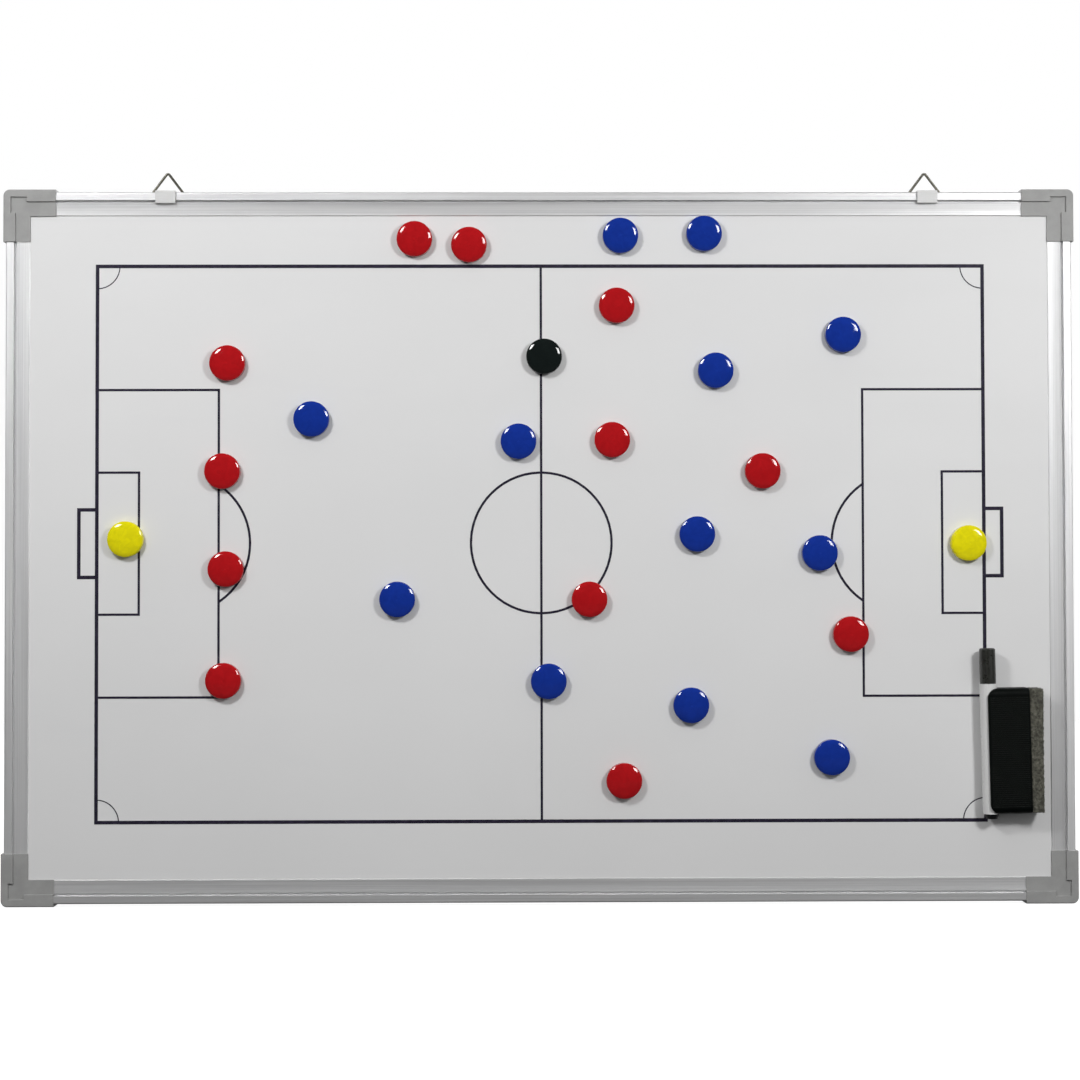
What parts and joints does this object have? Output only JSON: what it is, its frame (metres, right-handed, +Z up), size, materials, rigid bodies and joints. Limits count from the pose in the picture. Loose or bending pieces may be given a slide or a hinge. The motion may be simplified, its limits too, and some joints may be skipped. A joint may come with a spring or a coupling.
{
  "type": "tactics board",
  "caption": "Framed magnetic whiteboard printed with a football pitch, hung by wire rings, with sliding player magnets, a magnetic eraser and a pen held in the eraser.",
  "frame": {"origin": "middle of the frame's back, on the wall plane behind the board", "axes": "+X to the viewer's right along the long side, +Y into the wall, +Z up"},
  "size_m": [0.9, 0.0328, 0.6163],
  "materials": {
    "white_lacquer": "white gloss lacquer on steel",
    "pitch_ink": "printed dark blue film",
    "core": "paper honeycomb core",
    "back_zinc": "grey coated sheet",
    "rail_aluminium": "satin anodised extrusion",
    "corner_grey": "fine textured grey moulding",
    "screw_steel": "zinc plated",
    "clip_aluminium": "satin bent sheet",
    "ring_nickel": "nickel plated wire",
    "magnet_red": "gloss moulding",
    "magnet_blue": "gloss moulding",
    "magnet_yellow": "gloss moulding",
    "magnet_black": "gloss moulding",
    "eraser_black": "ribbed black moulding",
    "eraser_felt": "pressed grey wool felt",
    "ferrite": "sintered ferrite strip",
    "pen_white": "gloss barrel",
    "pen_grey": "dark grey cap",
    "pen_black": "black moulding",
    "pen_fibre": "ink-soaked fibre"
  },
  "bodies": {
    "board": {"writing_sheet": "white_lacquer", "pitch_markings": "pitch_ink", "core_board": "core", "back_sheet": "back_zinc", "top_rail": "rail_aluminium", "bottom_rail": "rail_aluminium", "left_rail": "rail_aluminium", "right_rail": "rail_aluminium", "top_left_corner": "corner_grey", "top_right_corner": "corner_grey", "bottom_left_corner": "corner_grey", "bottom_right_corner": "corner_grey", "corner_screws": "screw_steel"},
    "left_clip": {"left_hanger_clip": "clip_aluminium"},
    "right_clip": {"right_hanger_clip": "clip_aluminium"},
    "left_ring": {"left_hanging_ring": "ring_nickel"},
    "right_ring": {"right_hanging_ring": "ring_nickel"},
    "eraser": {"eraser_body": "eraser_black", "eraser_felt": "eraser_felt", "eraser_magnet": "ferrite"},
    "pen": {"pen_barrel": "pen_white", "pen_end_plug": "pen_black", "pen_nose": "pen_black", "pen_nib": "pen_fibre", "pen_reservoir": "pen_fibre"},
    "cap": {"pen_cap": "pen_grey"},
    "red_01": {"red_magnet_01": "magnet_red"},
    "red_02": {"red_magnet_02": "magnet_red"},
    "red_03": {"red_magnet_03": "magnet_red"},
    "red_04": {"red_magnet_04": "magnet_red"},
    "red_05": {"red_magnet_05": "magnet_red"},
    "red_06": {"red_magnet_06": "magnet_red"},
    "red_07": {"red_magnet_07": "magnet_red"},
    "red_08": {"red_magnet_08": "magnet_red"},
    "red_09": {"red_magnet_09": "magnet_red"},
    "red_10": {"red_magnet_10": "magnet_red"},
    "red_11": {"red_magnet_11": "magnet_red"},
    "red_12": {"red_magnet_12": "magnet_red"},
    "blue_01": {"blue_magnet_01": "magnet_blue"},
    "blue_02": {"blue_magnet_02": "magnet_blue"},
    "blue_03": {"blue_magnet_03": "magnet_blue"},
    "blue_04": {"blue_magnet_04": "magnet_blue"},
    "blue_05": {"blue_magnet_05": "magnet_blue"},
    "blue_06": {"blue_magnet_06": "magnet_blue"},
    "blue_07": {"blue_magnet_07": "magnet_blue"},
    "blue_08": {"blue_magnet_08": "magnet_blue"},
    "blue_09": {"blue_magnet_09": "magnet_blue"},
    "blue_10": {"blue_magnet_10": "magnet_blue"},
    "blue_11": {"blue_magnet_11": "magnet_blue"},
    "blue_12": {"blue_magnet_12": "magnet_blue"},
    "yellow_01": {"yellow_magnet_01": "magnet_yellow"},
    "yellow_02": {"yellow_magnet_02": "magnet_yellow"},
    "black_01": {"black_magnet_01": "magnet_black"}
  },
  "joints": [
    {"name": "left_clip_slide", "type": "slide", "parent": "board", "child": "left_clip", "axis": [1, 0, 0], "range_m": [-0.07, 0.28]},
    {"name": "left_ring_swing", "type": "hinge", "parent": "left_clip", "child": "left_ring", "pos_m": [-0.3142, -0.0027, 0.2968], "axis": [1, 0, 0], "range_deg": [-120, 40]},
    {"name": "right_clip_slide", "type": "slide", "parent": "board", "child": "right_clip", "axis": [1, 0, 0], "range_m": [-0.28, 0.06]},
    {"name": "right_ring_swing", "type": "hinge", "parent": "right_clip", "child": "right_ring", "pos_m": [0.3265, -0.0027, 0.2968], "axis": [1, 0, 0], "range_deg": [-120, 40]},
    {"name": "red_01_slide", "type": "slide", "parent": "board", "child": "red_01", "axis": [1, 0, 0], "range_m": [-0.07, 0.012]},
    {"name": "red_02_slide", "type": "slide", "parent": "board", "child": "red_02", "axis": [0, 0, 1], "range_m": [-0.06, 0.008]},
    {"name": "red_03_slide", "type": "slide", "parent": "board", "child": "red_03", "axis": [1, 0, 0], "range_m": [-0.07, 0.07]},
    {"name": "red_04_slide", "type": "slide", "parent": "board", "child": "red_04", "axis": [1, 0, 0], "range_m": [-0.07, 0.07]},
    {"name": "red_05_slide", "type": "slide", "parent": "board", "child": "red_05", "axis": [1, 0, 0], "range_m": [-0.07, 0.07]},
    {"name": "red_06_slide", "type": "slide", "parent": "board", "child": "red_06", "axis": [1, 0, 0], "range_m": [-0.022, 0.052]},
    {"name": "red_07_slide", "type": "slide", "parent": "board", "child": "red_07", "axis": [1, 0, 0], "range_m": [-0.052, 0.07]},
    {"name": "red_08_slide", "type": "slide", "parent": "board", "child": "red_08", "axis": [1, 0, 0], "range_m": [-0.03, 0.062]},
    {"name": "red_09_slide", "type": "slide", "parent": "board", "child": "red_09", "axis": [1, 0, 0], "range_m": [-0.064, 0.07]},
    {"name": "red_10_slide", "type": "slide", "parent": "board", "child": "red_10", "axis": [1, 0, 0], "range_m": [-0.07, 0.024]},
    {"name": "red_11_slide", "type": "slide", "parent": "board", "child": "red_11", "axis": [1, 0, 0], "range_m": [-0.07, 0.07]},
    {"name": "red_12_slide", "type": "slide", "parent": "board", "child": "red_12", "axis": [1, 0, 0], "range_m": [-0.07, 0.07]},
    {"name": "blue_01_slide", "type": "slide", "parent": "board", "child": "blue_01", "axis": [1, 0, 0], "range_m": [-0.07, 0.018]},
    {"name": "blue_02_slide", "type": "slide", "parent": "board", "child": "blue_02", "axis": [1, 0, 0], "range_m": [-0.018, 0.07]},
    {"name": "blue_03_slide", "type": "slide", "parent": "board", "child": "blue_03", "axis": [1, 0, 0], "range_m": [-0.046, 0.07]},
    {"name": "blue_04_slide", "type": "slide", "parent": "board", "child": "blue_04", "axis": [1, 0, 0], "range_m": [-0.056, 0.046]},
    {"name": "blue_05_slide", "type": "slide", "parent": "board", "child": "blue_05", "axis": [1, 0, 0], "range_m": [-0.07, 0.07]},
    {"name": "blue_06_slide", "type": "slide", "parent": "board", "child": "blue_06", "axis": [1, 0, 0], "range_m": [-0.07, 0.022]},
    {"name": "blue_07_slide", "type": "slide", "parent": "board", "child": "blue_07", "axis": [1, 0, 0], "range_m": [-0.07, 0.038]},
    {"name": "blue_08_slide", "type": "slide", "parent": "board", "child": "blue_08", "axis": [1, 0, 0], "range_m": [-0.036, 0.046]},
    {"name": "blue_09_slide", "type": "slide", "parent": "board", "child": "blue_09", "axis": [1, 0, 0], "range_m": [-0.062, 0.064]},
    {"name": "blue_10_slide", "type": "slide", "parent": "board", "child": "blue_10", "axis": [1, 0, 0], "range_m": [-0.07, 0.048]},
    {"name": "blue_11_slide", "type": "slide", "parent": "board", "child": "blue_11", "axis": [1, 0, 0], "range_m": [-0.046, 0.07]},
    {"name": "blue_12_slide", "type": "slide", "parent": "board", "child": "blue_12", "axis": [1, 0, 0], "range_m": [-0.07, 0.042]},
    {"name": "yellow_01_slide", "type": "slide", "parent": "board", "child": "yellow_01", "axis": [1, 0, 0], "range_m": [-0.062, 0.028]},
    {"name": "yellow_02_slide", "type": "slide", "parent": "board", "child": "yellow_02", "axis": [1, 0, 0], "range_m": [-0.046, 0.05]},
    {"name": "black_01_slide", "type": "slide", "parent": "board", "child": "black_01", "axis": [1, 0, 0], "range_m": [-0.07, 0.056]},
    {"name": "eraser_wipe", "type": "slide", "parent": "board", "child": "eraser", "axis": [1, 0, 0], "range_m": [-0.06, 0.008]},
    {"name": "pen_slide", "type": "slide", "parent": "eraser", "child": "pen", "axis": [-0.0209, 0, 0.9998], "range_m": [-0.03, 0.03]},
    {"name": "cap_pull", "type": "slide", "parent": "pen", "child": "cap", "axis": [-0.0209, 0, 0.9998], "range_m": [0, 0.032]}
  ]
}
